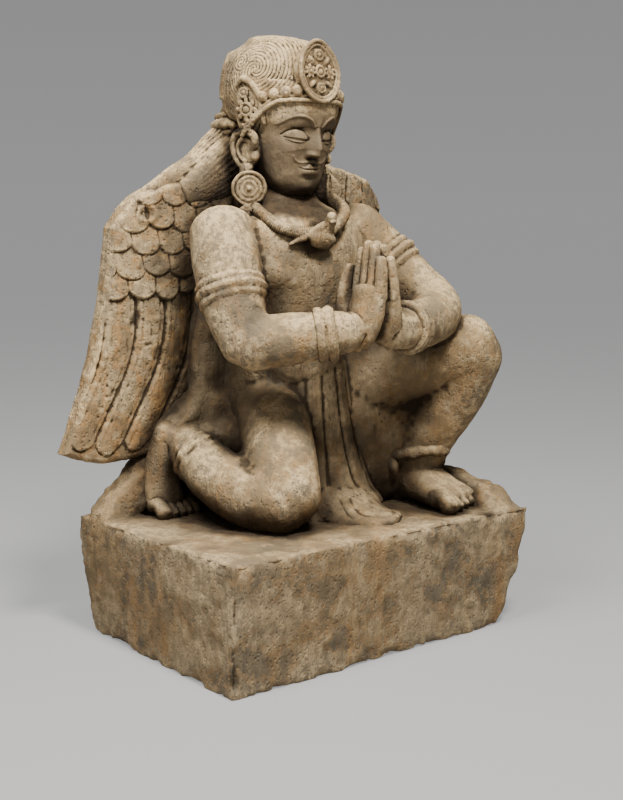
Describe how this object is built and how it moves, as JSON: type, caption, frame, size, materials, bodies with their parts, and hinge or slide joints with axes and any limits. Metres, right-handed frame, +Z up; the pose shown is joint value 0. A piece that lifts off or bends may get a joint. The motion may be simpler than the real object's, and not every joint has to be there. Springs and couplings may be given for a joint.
{
  "type": "kneeling garuda statue",
  "caption": "Stone statue of a winged figure kneeling on one knee with joined hands, carved in one piece with a rough rectangular plinth.",
  "frame": {"origin": "middle of the plinth's flat underside, where it stands", "axes": "+Z up; the figure faces -Y and its own left is +X"},
  "size_m": [0.7232, 0.4181, 0.9676],
  "materials": {
    "stone": "weathered matt schist, grey-brown with tan dust and ochre stains"
  },
  "bodies": {
    "root": {"garuda_statue": "stone"}
  },
  "joints": []
}
